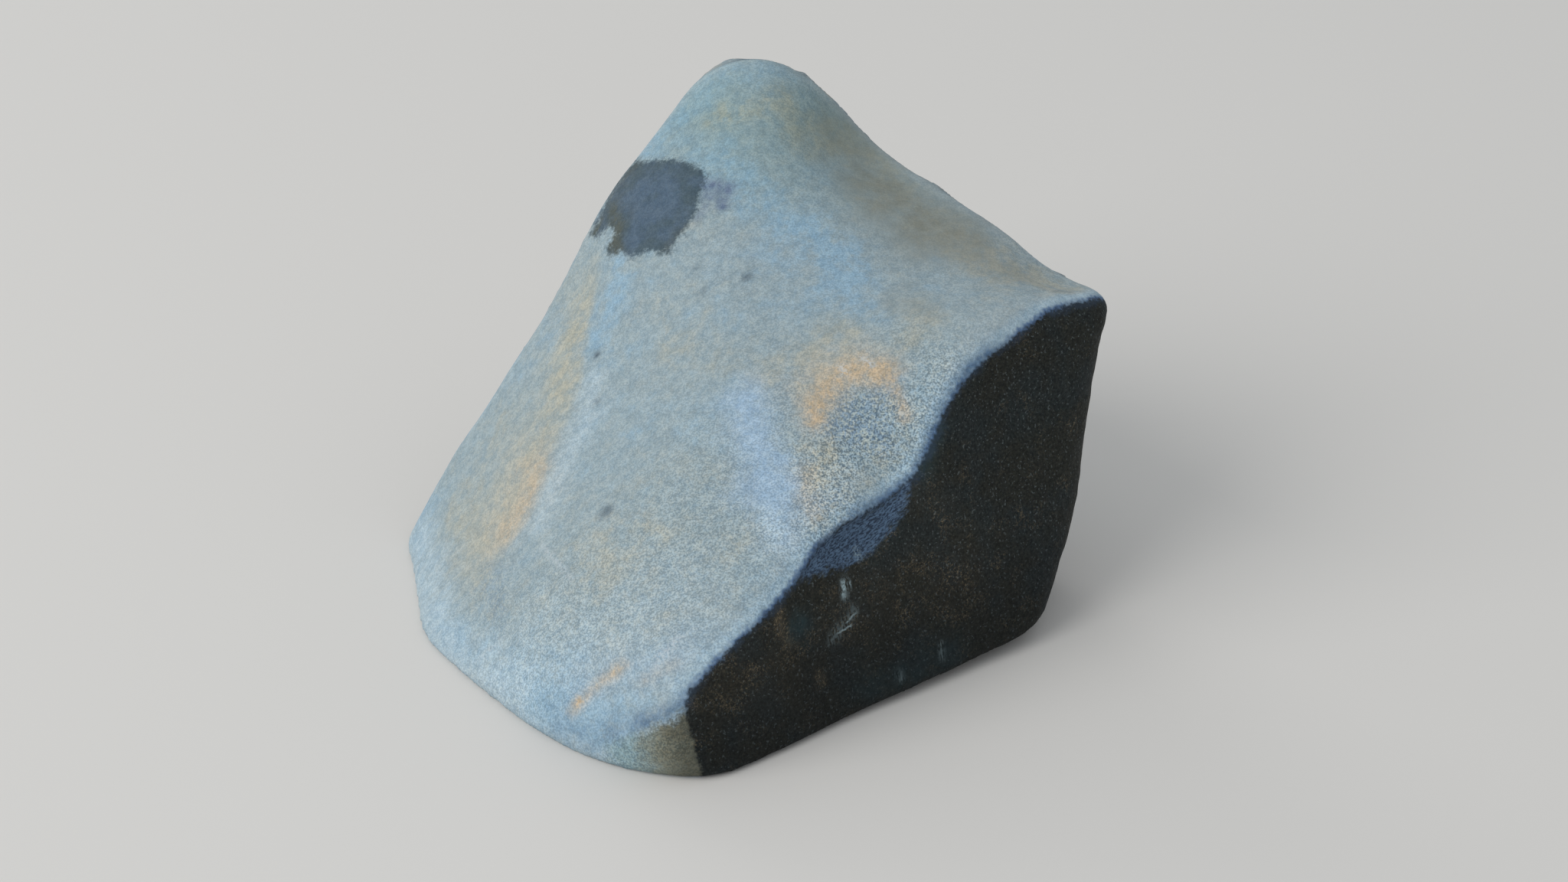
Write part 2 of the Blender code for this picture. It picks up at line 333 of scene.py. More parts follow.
# The shallow scars of old breaks on the back: their size and depth (mm), and the share of
# their whole depth at which the solid's surface lies; how far and over what distance their
# edges wander (mm), and how many such distances apart its noise is taken for each axis
SCARS = [(22.0, 1.3), (9.0, 0.3)]
SCAR_DEPTH = sum(depth for _, depth in SCARS)
SCAR_LEVEL = 0.6
SCAR_WANDER = 4.0
SCAR_WANDER_SIZE = 9.0
SCAR_NOISE_APART = 7


def colour(red, green, blue, light):
    """An 8-bit screen colour as the linear colour of the rock, for the light it lies in.

    The bare numbers are those of the sRGB curve.
    """
    levels = np.array([red, green, blue]) / 255.0
    linear = np.where(levels <= 0.04045, levels / 12.92, ((levels + 0.055) / 1.055) ** 2.4)
    return tuple(float(c) for c in linear / light)


# How much light the pale faces, the dark face, the olive facet and its bluer end get
FACE_LIGHT = 1.12
SHADE_LIGHT = 0.60
# The olive facet's two lie close to the pale faces' light, so its shade and the warm light
# bounced up from the ground stay painted in its colours
FOOT_LIGHT = 0.8 * FACE_LIGHT
FOOT_END_LIGHT = 0.9 * FACE_LIGHT

# The skin, its stains and marks, and the rims along the ridge: the blue rim is a painted
# highlight and the navy rim painted shade
PALE_BLUE = colour(147, 178, 199, FACE_LIGHT)
PALE_GREY = colour(154, 172, 180, FACE_LIGHT)
PALE_TAN = colour(170, 174, 166, FACE_LIGHT)
STREAK_BLUE = colour(162, 188, 211, FACE_LIGHT)
# Pale patches, and painted highlights along the left facet's crease and the ridge
PALE_AND_HIGHLIGHT = colour(179, 199, 211, FACE_LIGHT)
FACET_BEIGE = colour(174, 176, 165, FACE_LIGHT)
RUST = colour(196, 179, 154, FACE_LIGHT)
SLATE = colour(112, 136, 160, FACE_LIGHT)
# The flank's brown-grey stain, partly painted shade
FLANK_STAIN_AND_SHADE = colour(134, 136, 126, FACE_LIGHT)
# Painted shade along the crests
CREST_SHADE = colour(92, 120, 150, FACE_LIGHT)
PATCH_GREY = colour(70, 88, 99, FACE_LIGHT)
PATCH_BLUE = colour(81, 101, 121, FACE_LIGHT)
PATCH_OLIVE = colour(80, 86, 80, FACE_LIGHT)
PATCH_TAIL = colour(108, 126, 152, FACE_LIGHT)
SPOT = colour(88, 104, 116, FACE_LIGHT)
RIM_HIGHLIGHT_BLUE = colour(166, 192, 209, FACE_LIGHT)
RIM_SHADE_NAVY = colour(84, 112, 150, FACE_LIGHT)
# Painted shade in the hollows
HOLLOW_SHADE = colour(118, 130, 134, FACE_LIGHT)
WORN_PALE = colour(176, 190, 196, FACE_LIGHT)
HAIRLINE = colour(206, 216, 222, FACE_LIGHT)

# The dark face and its marks; its bluish edge is painted half light under the ridge, and the navy
# chip partly painted grazing light
CHARCOAL = colour(24, 26, 23, SHADE_LIGHT)
DARK_BLUE = colour(22, 28, 29, SHADE_LIGHT)
DARK_TEAL = colour(32, 50, 54, SHADE_LIGHT)
DARK_BROWN = colour(84, 75, 60, SHADE_LIGHT)
DARK_EDGE_HALF_LIGHT = colour(35, 47, 61, SHADE_LIGHT)
NAVY_DEEP = colour(30, 41, 56, SHADE_LIGHT)
# The navy chip's lighter tone is partly painted grazing light
NAVY_AND_GRAZING_LIGHT = colour(66, 85, 106, SHADE_LIGHT)
FLECK = colour(92, 100, 102, SHADE_LIGHT)
SCRATCH = colour(124, 141, 146, SHADE_LIGHT)

# The hidden back, and the olive facet, whose colours are the rock in painted shade warmed by
# painted light bounced up from the ground
BACK_SLATE = colour(108, 125, 135, FACE_LIGHT)
BACK_GREY = colour(142, 157, 163, FACE_LIGHT)
BACK_TAN = colour(158, 151, 132, FACE_LIGHT)
SHADED_OLIVE_LIGHT = colour(112, 114, 102, FOOT_LIGHT)
SHADED_OLIVE_DARK = colour(78, 78, 66, FOOT_LIGHT)
SHADED_FOOT_TEAL = colour(128, 152, 160, FOOT_END_LIGHT)

# Tints, by which a colour is multiplied: for the grains of the skin and of the dark face, and
# painted shade for the dark face low down and for the peak
GRAIN_DARK = (0.44, 0.48, 0.52)
GRAIN_LIGHT = (1.60, 1.54, 1.48)
GRAIN_COLD = (0.94, 1.0, 1.05)
GRAIN_WARM = (1.06, 1.0, 0.92)
MOTTLE_COLD = (0.87, 0.90, 0.92)
MOTTLE_WARM = (1.14, 1.11, 1.08)
DARK_GRAIN_DARK = (0.55, 0.58, 0.60)
DARK_GRAIN_LIGHT = (1.46, 1.43, 1.38)
DARK_FOOT_SHADE = (0.55, 0.58, 0.60)
PEAK_SHADE = (0.82, 0.90, 0.88)

# The floor: its size (m) and its surface
FLOOR_SIZE = 8.0
FLOOR_COLOUR = (0.72, 0.705, 0.68)
FLOOR_ROUGHNESS = 0.9
FLOOR_SHINE = 0.1

# The lamps: where each shines from, its distance and size (m), power (W) and colour, and
# the even sky
KEY_FROM = (-0.71, -0.41, 0.57)
KEY_DISTANCE = 1.7
KEY_SIZE = 1.5
KEY_POWER = 16.5
KEY_COLOUR = (1.0, 0.985, 0.96)
BACK_FROM = (-0.45, 0.85, 0.35)
BACK_DISTANCE = 1.8
BACK_SIZE = 1.0
BACK_POWER = 4.0
SKY_COLOUR = (0.93, 0.965, 1.0)
SKY_STRENGTH = 0.56


def camera_axes():
    """The photograph's right, up and forward directions."""
    down = math.radians(CAMERA_DOWN)
    right = Vector((1, 0, 0))
    forward = Vector((0, math.cos(down), -math.sin(down)))
    return right, right.cross(forward), forward


def to_pixels(points):
    """Where the photograph shows each point, and its distance from the camera (mm)."""
    right, up, forward = (np.array(axis) for axis in camera_axes())
    away = points - np.array(CAMERA_PLACE)
    depth = away @ forward
    across = PHOTO_SIZE[0] / 2 + FOCAL * (away @ right) / depth
    down = PHOTO_SIZE[1] / 2 - FOCAL * (away @ up) / depth
    return np.stack([across, down], axis=1), depth


class Finder:
    """Finds the points of the stone that pixels of the photograph show."""

    def __init__(self, points, faces):
        self.tree = BVHTree.FromPolygons([tuple(p) for p in points], faces)
        self.eye = Vector(CAMERA_PLACE)
        self.reach = (Vector(points.mean(axis=0)) - self.eye).length

    def spot(self, pixel):
        """The stone's point under a pixel, or the nearest one to a pixel just beside it."""
        right, up, forward = camera_axes()
        across = (pixel[0] - PHOTO_SIZE[0] / 2) / FOCAL
        above = (PHOTO_SIZE[1] / 2 - pixel[1]) / FOCAL
        ray = (forward + right * across + up * above).normalized()
        hit = self.tree.ray_cast(self.eye, ray)[0]
        if hit is None:
            steps = range(-BESIDE_REACH, BESIDE_REACH + 1, BESIDE_STEP)
            tries = [self.eye + ray * (self.reach + step) for step in steps]
            nearest = [self.tree.find_nearest(place) for place in tries]
            hit = min(nearest, key=lambda found: found[3])[0]
        return np.array(hit)

    def line(self, pixels):
        """The stone's points under a line of pixels."""
        return np.array([self.spot(pixel) for pixel in closer(pixels, RAY_GAP)])

    def along(self, places):
        """A line over the stone's surface past some places (mm)."""
        for _ in range(LINE_FITS):
            places = [self.tree.find_nearest(Vector(p))[0] for p in closer(places, LINE_GAP)]
        return np.array(places)


def closer(line, gap):
    """A line with points added until none are further apart than the gap."""
    line = np.array(line, dtype=float)
    full = [line[0]]
    for a, b in zip(line, line[1:]):
        steps = max(1, math.ceil(np.linalg.norm(b - a) / gap))
        full += [a + (b - a) * k / steps for k in range(1, steps + 1)]
    return full


def read_vectors(items, name):
    """The vector of one name that each of a mesh's items has."""
    flat = np.empty(len(items) * 3, dtype=np.float32)
    items.foreach_get(name, flat)
    return flat.reshape(-1, 3).astype(float)


def write_points(mesh, points):
    """Put points in millimetres back into a mesh."""
    mesh.vertices.foreach_set("co", (points * MM).astype(np.float32).ravel())
    mesh.update()


def read_edges(mesh):
    """The two points at the ends of each edge."""
    ends = np.empty(len(mesh.edges) * 2, dtype=np.int32)
    mesh.edges.foreach_get("vertices", ends)
    return ends[0::2], ends[1::2]


def evened(values, edges):
    """Each point's value replaced by the mean over the points next to it."""
    a, b = edges
    count = np.bincount(a, minlength=len(values)) + np.bincount(b, minlength=len(values))
    total = np.bincount(a, values[b], len(values)) + np.bincount(b, values[a], len(values))
    return total / count


def added(name, data):
    """A new object in the scene."""
    made = bpy.data.objects.new(name, data)
    bpy.context.scene.collection.objects.link(made)
    return made


def remade(node):
    """A new object with the node's form in small even faces."""
    bm = bmesh.new()
    bm.from_mesh(node.data)
    bmesh.ops.remove_doubles(bm, verts=bm.verts[:], dist=MERGE_GAP * MM)
    mesh = bpy.data.meshes.new("rough stone")
    bm.to_mesh(mesh)
    bm.free()
    rough = added("rough stone", mesh)
    even = rough.modifiers.new("even faces", "REMESH")
    even.mode = "VOXEL"
    even.voxel_size = FACE_SIZE * MM
    graph = bpy.context.evaluated_depsgraph_get()
    graph.update()
    fine = bpy.data.meshes.new_from_object(rough.evaluated_get(graph))
    bpy.data.objects.remove(rough)
    fine.name = "stone skin"
    return added("stone_skin", fine)


def smoothed(points, edges):
    """Points with the solid's facets smoothed away, by turns shrinking and swelling."""
    on_base = points[:, 2] < points[:, 2].min() + BASE_BAND
    for _ in range(SMOOTHINGS):
        for step in (SHRINK_STEP, SWELL_STEP):
            mean = np.stack([evened(points[:, axis], edges) for axis in range(3)], axis=1)
            points = points + step * (mean - points)
    points[on_base, 2] = 0.0
    points[:, 2] = np.maximum(points[:, 2], 0.0)
    return points


def hollowness(points, normals, edges):
    """From -1 on worn edges, over 0 on flat faces, to 1 in hollows."""
    even = points
    for _ in range(EVENINGS):
        even = np.stack([evened(even[:, axis], edges) for axis in range(3)], axis=1)
    depth = ((even - points) * normals).sum(axis=1)
    return np.clip(depth / HOLLOW_DEPTH, -1, 1)


def lumps(points, size):
    """Smooth noise between about -1 and 1 with lumps of one size (mm)."""
    return np.array([noise.noise(Vector(p)) for p in points / size])


def scars(points):
    """From 0 on the ridges between the back's shallow scars to 1 in the middles."""
    step = SCAR_WANDER_SIZE
    apart = SCAR_NOISE_APART * step
    wander = np.stack([lumps(points + axis * apart, step) for axis in range(3)], axis=1)
    total = np.zeros(len(points))
    for size, depth in SCARS:
        places = (points + SCAR_WANDER * wander) / size
        near = np.array([noise.voronoi(Vector(p))[0][:2] for p in places])
        total += depth * (1 - (near[:, 0] / near[:, 1]) ** 2)
    return total / SCAR_DEPTH


def away_from(points, line):
    """How far each point lies from a line."""
    best = np.full(len(points), np.inf)
    ends = line if len(line) > 1 else np.vstack([line, line])
    for a, b in zip(ends, ends[1:]):
        along = b - a
        part = np.clip((points - a) @ along / max(along @ along, TINY), 0, 1)
        best = np.minimum(best, np.linalg.norm(points - (a + part[:, None] * along), axis=1))
    return best


def flooded(count, start, edges):
    """Which points can be reached from a start over the given edges."""
    a, b = edges
    wet = np.zeros(count, dtype=bool)
    wet[start] = True
    before = 0
    while wet.sum() > before:
        before = wet.sum()
        wet[b[wet[a]]] = True
        wet[a[wet[b]]] = True
    return wet


def to_dark(points, edges, finder):
    """Distance into the dark face (mm), below 0 on the pale skin."""
    border = finder.along(np.vstack([RIGHT_BACK, finder.line(RIDGE), NOSE_END]))
    far = away_from(points, border)
    base = points[:, 2] < ON_BASE
    shut = (far < BORDER_WIDTH) | base
    a, b = edges
    free = ~shut[a] & ~shut[b]
    start = np.linalg.norm(points - finder.spot(DARK_SPOT), axis=1).argmin()
    dark = flooded(len(points), start, (a[free], b[free]))
    signed = np.where(dark, far, -far)
    beside = np.bincount(a, dark[b], len(points)) + np.bincount(b, dark[a], len(points))
    base_edge = base & (beside > 0)
    signed[base_edge] = far[base_edge]
    border_points = (far < BORDER_WIDTH) & ~dark
    signed[border_points] = 0.0
    for _ in range(BORDER_EVENINGS):
        signed[border_points] = evened(signed, edges)[border_points]
    return signed


def strokes(points, finder, marks):
    """The summed strength of soft marks at each point, with edges that wander."""
    total = np.zeros(len(points))
    for pixels, spread, strength in marks:
        far = away_from(points, finder.line(pixels))
        near = far < MARK_REACH * spread
        wander = sum(weight * lumps(points[near], size * spread) for size, weight in WANDER_LUMPS)
        wander *= MARK_WANDER * min(1, spread / WANDER_FROM)
        reach = far[near] * (1 + wander) / spread
        total[near] += strength * np.exp(-reach ** 2)
    return total


def hidden_away(points, normals):
    """An added distance (mm) that fades marks out where the stone turns from the camera."""
    to_eye = np.array(CAMERA_PLACE) - points
    to_eye /= np.linalg.norm(to_eye, axis=1)[:, None]
    turned = (TURNED_AWAY - (normals * to_eye).sum(axis=1)) / TURN_WIDTH
    return FAR_OFF * np.clip(turned, 0, 1)


def to_scratch(points, normals, start, end):
    """How far each point lies to one side of a scratch and past its ends (mm)."""
    where, depth = to_pixels(points)
    along = np.array(end, dtype=float) - start
    length = np.linalg.norm(along)
    along /= length
    away = where - start
    across = (away[:, 0] * along[1] - away[:, 1] * along[0]) * depth / FOCAL
    reached = away @ along
    past = np.maximum(-reached, reached - length) * depth / FOCAL
    return across, past + hidden_away(points, normals)


def to_outline(points, normals, outline):
    """Distance outside a mark's outline (mm), below 0 inside it, as the camera sees it."""
    where, depth = to_pixels(points)
    edge = np.array([*outline, outline[0]], dtype=float)
    inside = np.zeros(len(points), dtype=bool)
    for a, b in zip(edge, edge[1:]):
        along = b - a
        crosses = (a[1] > where[:, 1]) != (b[1] > where[:, 1])
        at = a[0] + (where[:, 1] - a[1]) * along[0] / (along[1] or TINY)
        inside ^= crosses & (where[:, 0] < at)
    far = away_from(where, edge)
    signed = np.where(inside, -far, far) * depth / FOCAL
    return signed + hidden_away(points, normals)


def relieved(points, normals, fields, finder):
    """Points with the fine dents and the relief of the skin, the dark face and the back."""
    chip = np.clip(-fields["navy"] / CHIP_SLOPE, 0, 1)
    dark = np.clip(fields["dark"] / RELIEF_BLEND + 0.5, 0, 1)
    unseen = hidden_away(points, normals) / FAR_OFF
    turned = np.clip(normals[:, 1] * BACK_RELIEF_GAIN - BACK_RELIEF_START, 0, 1)
    back = (1 - dark) * unseen * turned
    depth = strokes(points, finder, DENTS)
    depth += CHIP_STEP * chip
    depth += back * (fields["scars"] - SCAR_LEVEL) * SCAR_DEPTH
    reliefs = ((1 - dark - back, SKIN_RELIEF),
               (dark * (1 - CHIP_CALM * chip), DARK_RELIEF),
               (back, BACK_RELIEF))
    for share, relief in reliefs:
        there = share > 0
        for size, height in relief:
            depth[there] += share[there] * height * lumps(points[there], size)
    lifted = np.clip(points[:, 2] / FULL_RELIEF, 0, 1)
    moved = points - normals * (depth * lifted)[:, None]
    moved[:, 2] = np.maximum(moved[:, 2], 0.0)
    return moved


def keep(mesh, name, values):
    """Store one number per point on the mesh, for the material to read."""
    attribute = mesh.attributes.new(name, "FLOAT", "POINT")
    attribute.data.foreach_set("value", values.astype(np.float32))


class Nodes:
    """Short ways to add nodes to a material."""

    # The places of a mix node's sockets for colours
    MIX_SHARE = 0
    MIX_FROM = 6
    MIX_INTO = 7
    MIX_RESULT = 2

    def __init__(self, name):
        self.material = bpy.data.materials.new(name)
        self.material.use_nodes = True
        self.tree = self.material.node_tree
        self.shader = self.tree.nodes["Principled BSDF"]

    def link(self, value, socket):
        """Set a socket to a number or colour, or link it to another node's output."""
        if isinstance(value, bpy.types.NodeSocket):
            self.tree.links.new(value, socket)
        elif isinstance(value, tuple) and len(value) == 3 and socket.type == "RGBA":
            socket.default_value = (*value, 1.0)
        else:
            socket.default_value = value

    def kept(self, name):
        """A number that is kept on the mesh."""
        node = self.tree.nodes.new("ShaderNodeAttribute")
        node.attribute_name = name
        return node.outputs["Fac"]

    def place(self):
        """The place on the object in millimetres."""
        spot = self.tree.nodes.new("ShaderNodeTexCoord")
        return self.vector("SCALE", spot.outputs["Object"], 1 / MM)

    def math(self, operation, a, b=0.0, c=0.0):
        """A sum, a product or the like of up to three values."""
        node = self.tree.nodes.new("ShaderNodeMath")
        node.operation = operation
        for value, socket in zip((a, b, c), node.inputs):
            self.link(value, socket)
        return node.outputs[0]

    def vector(self, operation, a, b):
        """Two vectors added, their dot product, or a vector scaled by a number."""
        node = self.tree.nodes.new("ShaderNodeVectorMath")
        node.operation = operation
        self.link(a, node.inputs[0])
        self.link(b, node.inputs["Scale" if operation == "SCALE" else 1])
        return node.outputs["Value" if operation == "DOT_PRODUCT" else "Vector"]

    def noise(self, place, size, detail=2.0, rough=0.5):
        """Noise from 0 to 1, about 0.5 on average, with lumps of one size (mm)."""
        node = self.tree.nodes.new("ShaderNodeTexNoise")
        self.link(place, node.inputs["Vector"])
        self.link(1 / size, node.inputs["Scale"])
        self.link(detail, node.inputs["Detail"])
        self.link(rough, node.inputs["Roughness"])
        return node.outputs["Fac"]

    def sway(self, place, size, height, detail=3.0):
        """Noise about 0 that reaches roughly the given height either way."""
        centred = self.math("SUBTRACT", self.noise(place, size, detail, SWAY_ROUGH), 0.5)
        return self.math("MULTIPLY", centred, 2 * height)

    def wandering(self, value, place, sways):
        """A value with some sways added to it."""
        for sway in sways:
            value = self.math("ADD", value, self.sway(place, *sway))
        return value

    def ramp(self, value, low, high, start=0.0, end=1.0):
        """Smoothly from start to end as a value goes from low to high."""
        node = self.tree.nodes.new("ShaderNodeMapRange")
        node.interpolation_type = "SMOOTHSTEP"
        self.link(value, node.inputs["Value"])
        levels = {"From Min": low, "From Max": high, "To Min": start, "To Max": end}
        for name, level in levels.items():
            node.inputs[name].default_value = level
        return node.outputs["Result"]

    def pattern(self, place, noise, ramp):
        """A share that a ramp gives over noise."""
        return self.ramp(self.noise(place, *noise), *ramp)

    def broken(self, name, place):
        """A kept strength, broken up into blotches."""
        size, least = BLOTCHES[name]
        ramp = (*BLOTCH_LEVELS, least, BLOTCH_MOST)
        blotches = self.pattern(place, (size, *BLOTCH_DETAIL), ramp)
        return self.math("MULTIPLY", self.kept(name), blotches)

    def drawn(self, place, along, share):
        """The place squeezed in one direction, which draws noise in it out that way."""
        part = self.vector("DOT_PRODUCT", place, along)
        step = self.vector("SCALE", along, self.math("MULTIPLY", part, share - 1))
        return self.vector("ADD", place, step)

    def mix(self, share, a, b, blend="MIX"):
        """Colour a, turning into colour b as share goes from 0 to 1."""
        node = self.tree.nodes.new("ShaderNodeMix")
        node.data_type = "RGBA"
        node.blend_type = blend
        node.clamp_factor = True
        self.link(share, node.inputs[self.MIX_SHARE])
        self.link(a, node.inputs[self.MIX_FROM])
        self.link(b, node.inputs[self.MIX_INTO])
        return node.outputs[self.MIX_RESULT]


# From here, a name in NOISE holds the size of its lumps (mm), its detail and its roughness,
# and one in SWAYS the size (mm), height and detail of each noise about 0. A name in RAMP
# holds the values that a ramp runs between and the shares at its ends, 0 and 1 if unsaid.
SWAY_ROUGH = 0.6

# How each soft mark is broken up into blotches: their size (mm) and the least share of the
# mark between them; for all of them the noise's detail and roughness, the levels between
# which they set in, and the largest share
BLOTCHES = {"tan": (2.2, 0.5), "blue": (2.0, 0.5), "beige": (3.0, 0.6), "pale": (2.0, 0.6),
            "flank": (5.0, 0.8), "streak": (1.6, 0.7), "rust": (1.0, 0.6),
            "ochre": (1.2, 0.6), "tail": (0.9, 0.6), "crest": (1.0, 0.6),
            "teal": (1.2, 0.6)}
BLOTCH_DETAIL = (3.0, 0.65)
BLOTCH_LEVELS = (0.32, 0.64)
BLOTCH_MOST = 1.15

# The skin's grain: specks, their cold and warm tinge and the mottles between them, all
# calmer on the flank, and the specks calmer in the streak and the rust
SPECK_NOISE = (0.25, 1.0)
SPECK_SWAYS = [(0.55, 0.25, 1.5)]
SPECK_RAMP = (0.30, 0.70)
TINGE_NOISE = (0.45, 2.0)
TINGE_RAMP = (0.35, 0.65)
MOTTLE_NOISE = (1.5, 3.0, 0.6)
MOTTLE_RAMP = (0.34, 0.66)
MOTTLE_SHARE = 0.8
FLANK_CALM_RAMP = (0.0, 0.6, 1.0, 0.45)
STAIN_CALM_RAMP = (0.0, 1.0, 1.0, 0.35)


def grained(n, place, base):
    """A colour with the rock's fine dark and light grains in it."""
    speck = n.wandering(n.noise(place, *SPECK_NOISE), place, SPECK_SWAYS)
    tint = n.mix(n.ramp(speck, *SPECK_RAMP), GRAIN_DARK, GRAIN_LIGHT)
    tinge = n.mix(n.pattern(place, TINGE_NOISE, TINGE_RAMP), GRAIN_COLD, GRAIN_WARM)
    tint = n.mix(1.0, tint, tinge, "MULTIPLY")
    mottle = n.mix(n.pattern(place, MOTTLE_NOISE, MOTTLE_RAMP), MOTTLE_COLD, MOTTLE_WARM)
    calm = n.ramp(n.kept("flank"), *FLANK_CALM_RAMP)
    base = n.mix(n.math("MULTIPLY", calm, MOTTLE_SHARE), base, mottle, "MULTIPLY")
    even = n.math("MAXIMUM", n.kept("streak"), n.kept("rust"))
    share = n.math("MULTIPLY", n.kept("grain"), n.ramp(even, *STAIN_CALM_RAMP))
    share = n.math("MULTIPLY", n.math("ADD", share, GRAIN_LEAST), calm)
    return n.mix(share, base, tint, "MULTIPLY")


# The skin: its clouds and where on them it is blue or tan, the left facet's edge, the heights
# (mm) over which the peak turns darker with painted shade, the painted shade in the hollows and
# the worn edges, and its stains
SKIN_CLOUD_SWAYS = [(16.0, 0.9), (4.5, 0.7), (1.6, 0.45)]
BLUE_RAMP = (-0.9, 0.1, 1.0, 0.0)
TAN_RAMP = (0.0, 1.1, 0.0, 0.9)
FACET_SWAYS = [(2.5, 0.8)]
FACET_RAMP = (0.6, -1.0)
PEAK_SHADE_RAMP = (47.0, 60.0)
HOLLOW_SHADE_RAMP = (0.2, 1.0, 0.0, 0.3)
WORN_RAMP = (-0.25, -1.0, 0.0, 0.35)
SLATE_NOISE = (0.45, 1.5)
SLATE_RAMP = (0.60, 0.42)
SPOT_SHARE = 0.85


def skin_colour(n, place):
    """The pale skin: blue-grey and tan clouds, the stains on them, and painted shade at the peak,
    in the hollows and partly on the flank.
    """
    clouds = n.wandering(0.0, place, SKIN_CLOUD_SWAYS)
    tan = n.math("ADD", clouds, n.broken("tan", place))
    tan = n.math("SUBTRACT", tan, n.broken("blue", place))
    base = n.mix(n.ramp(tan, *BLUE_RAMP), PALE_GREY, PALE_BLUE)
    base = n.mix(n.ramp(tan, *TAN_RAMP), base, PALE_TAN)
    facet = n.ramp(n.wandering(n.kept("facet"), place, FACET_SWAYS), *FACET_RAMP)
    base = n.mix(n.math("MULTIPLY", facet, n.broken("beige", place)), base, FACET_BEIGE)
    # Pale patches, and painted highlights along the crease and the ridge
    base = n.mix(n.broken("pale", place), base, PALE_AND_HIGHLIGHT)
    # The flank's stain, partly painted shade
    base = n.mix(n.broken("flank", place), base, FLANK_STAIN_AND_SHADE)
    # Painted shade, darker towards the peak
    base = n.mix(n.ramp(n.kept("height"), *PEAK_SHADE_RAMP), base, PEAK_SHADE, "MULTIPLY")
    base = n.mix(n.broken("streak", place), base, STREAK_BLUE)
    # Painted shade in the hollows
    base = n.mix(n.ramp(n.kept("hollow"), *HOLLOW_SHADE_RAMP), base, HOLLOW_SHADE)
    base = n.mix(n.ramp(n.kept("hollow"), *WORN_RAMP), base, WORN_PALE)
    base = n.mix(n.broken("rust", place), base, RUST)
    slate = n.math("MULTIPLY", n.kept("slate"), n.pattern(place, SLATE_NOISE, SLATE_RAMP))
    base = n.mix(slate, base, SLATE)
    return n.mix(n.math("MULTIPLY", n.kept("spots"), SPOT_SHARE), base, SPOT)


# The hidden back: its edge, its grey and rusty clouds and the ridges between its scars
BACK_EDGE_SWAYS = [(8.0, 0.6)]
BACK_EDGE_RAMP = (0.25, 0.75)
BACK_CLOUD_NOISE = (12.0, 4.0, 0.65)
BACK_CLOUD_RAMP = (0.40, 0.60)
BACK_TAN_NOISE = (7.0, 5.0, 0.7)
BACK_TAN_RAMP = (0.52, 0.70, 0.0, 0.7)
SCAR_RIDGE_SWAYS = [(2.5, 0.5)]
SCAR_RIDGE_RAMP = (0.30, 0.0, 0.0, 0.3)


def back_colour(n, place, base):
    """The hidden back: an old break, darker, with pale worn ridges and rusty clouds."""
    share = n.ramp(n.wandering(n.kept("hidden"), place, BACK_EDGE_SWAYS), *BACK_EDGE_RAMP)
    old = n.mix(n.pattern(place, BACK_CLOUD_NOISE, BACK_CLOUD_RAMP), BACK_SLATE, BACK_GREY)
    old = n.mix(n.pattern(place, BACK_TAN_NOISE, BACK_TAN_RAMP), old, BACK_TAN)
    ridges = n.wandering(n.kept("scars"), place, SCAR_RIDGE_SWAYS)
    old = n.mix(n.ramp(ridges, *SCAR_RIDGE_RAMP), old, WORN_PALE)
    return n.mix(share, base, old)


# The dark patch: its ragged edge and its bluer middle
PATCH_EDGE_SWAYS = [(1.1, 1.0), (0.5, 0.6)]
PATCH_EDGE_RAMP = (0.65, -0.65, 0.0, 0.95)
PATCH_MIDDLE_SWAYS = [(3.5, 9.0)]
PATCH_MIDDLE_RAMP = (1.0, -5.0)


def patch_colour(n, place, base):
    """The dark patch high on the left: its ragged edge, bluer middle, olive lobes and tail."""
    middle = n.wandering(n.kept("patch"), place, PATCH_MIDDLE_SWAYS)
    inner = n.mix(n.ramp(middle, *PATCH_MIDDLE_RAMP), PATCH_GREY, PATCH_BLUE)
    inner = n.mix(n.broken("ochre", place), inner, PATCH_OLIVE)
    base = n.mix(n.broken("tail", place), base, PATCH_TAIL)
    edge = n.wandering(n.kept("patch"), place, PATCH_EDGE_SWAYS)
    return n.mix(n.ramp(edge, *PATCH_EDGE_RAMP), base, inner)


# The olive facet, painted shade with warm bounced light painted in: its edge, and how near to the
# dark face (mm, below 0) it turns darker and how far from it bluer
FOOT_EDGE_SWAYS = [(2.0, 1.2), (0.5, 0.8)]
FOOT_EDGE_RAMP = (0.8, -1.2, 0.0, 0.95)
FOOT_DARKER_SWAYS = [(1.5, 3.0)]
FOOT_DARKER_RAMP = (-5.5, -0.5)
FOOT_BLUER_SWAYS = [(2.5, 2.5)]
FOOT_BLUER_RAMP = (-4.0, -9.0)


def foot_share(n, place):
    """How far a place belongs to the olive facet under the nose."""
    return n.ramp(n.wandering(n.kept("olive"), place, FOOT_EDGE_SWAYS), *FOOT_EDGE_RAMP)


def foot_shade_colour(n, place):
    """The olive facet's painted shade and warm bounced light: darker towards the dark face and
    bluer away from it.
    """
    darker = n.wandering(n.kept("dark"), place, FOOT_DARKER_SWAYS)
    olive = n.mix(n.ramp(darker, *FOOT_DARKER_RAMP), SHADED_OLIVE_LIGHT, SHADED_OLIVE_DARK)
    bluer = n.wandering(n.kept("dark"), place, FOOT_BLUER_SWAYS)
    return n.mix(n.ramp(bluer, *FOOT_BLUER_RAMP), olive, SHADED_FOOT_TEAL)


